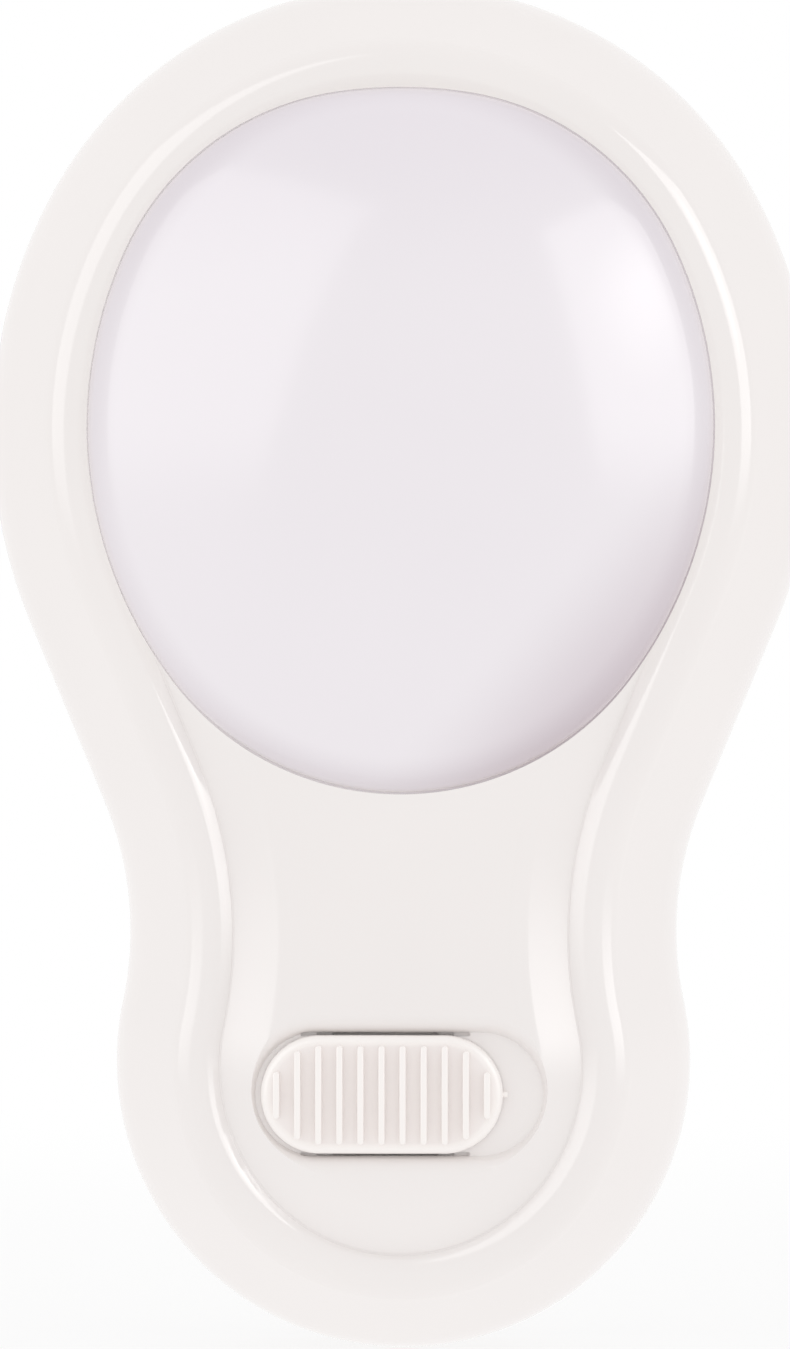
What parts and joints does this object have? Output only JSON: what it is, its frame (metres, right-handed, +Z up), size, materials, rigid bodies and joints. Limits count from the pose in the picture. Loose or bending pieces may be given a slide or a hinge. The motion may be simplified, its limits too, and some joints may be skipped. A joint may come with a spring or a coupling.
{
  "type": "night light",
  "caption": "Plug-in night light with a keyhole-shaped casing, a frosted egg-shaped lens, a ribbed slide switch below it and a mains plug behind.",
  "frame": {"origin": "middle of the plug's face, between the pins", "axes": "+Z up, the front with lens and switch faces -Y, the plug pins point along +Y, +X is the viewer's right"},
  "size_m": [0.0634, 0.067, 0.1049],
  "materials": {
    "casing": "white, glossy, very slightly warm",
    "lens": "frosted white diffuser with a soft gloss",
    "knob": "white, satin",
    "reflector": "white, matt",
    "board": "green glass laminate",
    "lamp": "clear epoxy, faintly yellow",
    "tinned_wire": "tinned",
    "film_block": "red-brown dip coat",
    "can_sleeve": "dark shrink sleeve",
    "diode_body": "black moulded",
    "resistor_body": "tan lacquer",
    "pin_metal": "nickel-plated brass",
    "pin_sleeve": "black insulating sleeve",
    "retainer": "natural moulded",
    "screw_steel": "zinc-plated steel",
    "live_insulation": "brown insulation",
    "neutral_insulation": "blue insulation",
    "cover_steel": "tinned steel",
    "laminate": "brown paper laminate",
    "contact_brass": "bare brass",
    "slide_plastic": "black moulded"
  },
  "bodies": {
    "casing": {"front_housing": "casing", "rear_housing": "casing", "diffuser_lens": "lens", "plug_pin_left": "pin_metal", "plug_pin_right": "pin_metal", "pin_sleeves": "pin_sleeve", "case_screws": "screw_steel", "reflector": "reflector", "circuit_board": "board", "leds": "lamp", "led_leads": "tinned_wire", "dropper_capacitor": "film_block", "dropper_leads": "tinned_wire", "smoothing_capacitor": "can_sleeve", "smoothing_leads": "tinned_wire", "rectifier_diodes": "diode_body", "diode_leads": "tinned_wire", "resistors": "resistor_body", "resistor_leads": "tinned_wire", "pin_retainer": "retainer", "retainer_screw": "screw_steel", "live_wire": "live_insulation", "neutral_wire": "neutral_insulation", "switch_can": "cover_steel", "switch_base": "laminate", "switch_terminals": "contact_brass", "board_screws": "screw_steel"},
    "slider": {"switch_knob": "knob", "switch_lever": "slide_plastic", "moving_contact": "contact_brass"}
  },
  "joints": [
    {"name": "switch_slide", "type": "slide", "parent": "casing", "child": "slider", "axis": [1, 0, 0], "range_m": [0, 0.0028]}
  ]
}
